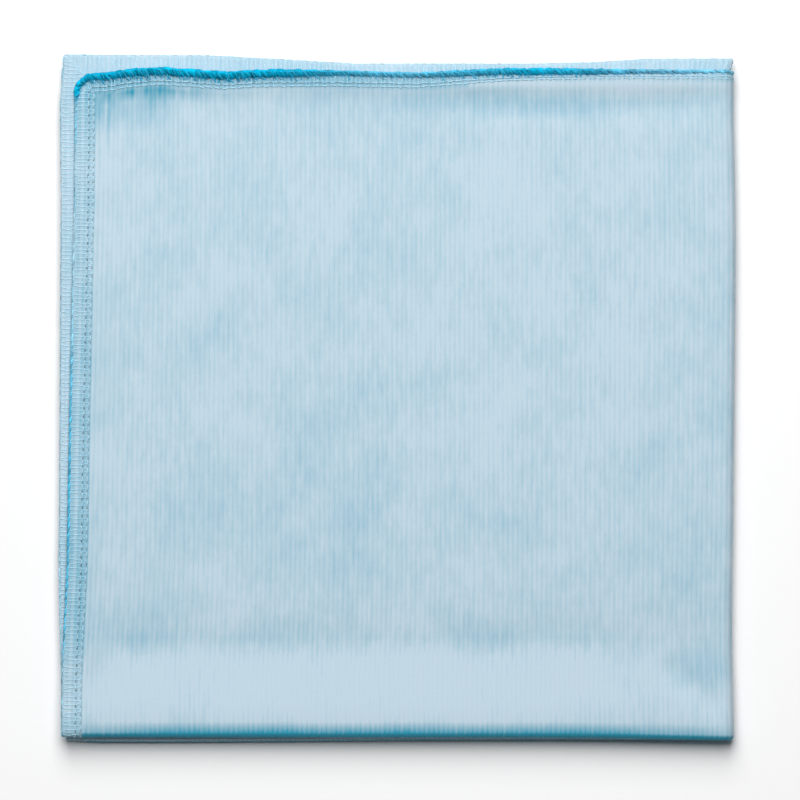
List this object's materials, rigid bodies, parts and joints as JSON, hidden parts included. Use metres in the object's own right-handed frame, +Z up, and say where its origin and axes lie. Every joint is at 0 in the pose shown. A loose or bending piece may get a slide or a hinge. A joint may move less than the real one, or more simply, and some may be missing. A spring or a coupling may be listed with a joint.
{
  "type": "microfibre cloth",
  "caption": "Square ribbed-knit microfibre cloth with an overlocked edge, folded in quarters and lying flat.",
  "frame": {"origin": "on the resting plane, under the middle of the folded cloth's outline", "axes": "+X towards the side fold, +Y towards the free back edges, +Z up from the resting plane"},
  "size_m": [0.2051, 0.2111, 0.0071],
  "materials": {
    "knit": "matt pale blue split-fibre warp knit with fine lengthwise ribs",
    "overlock_thread": "soft textured polyester sewing thread, sky blue"
  },
  "bodies": {
    "root": {"cloth": "knit"}
  },
  "joints": []
}
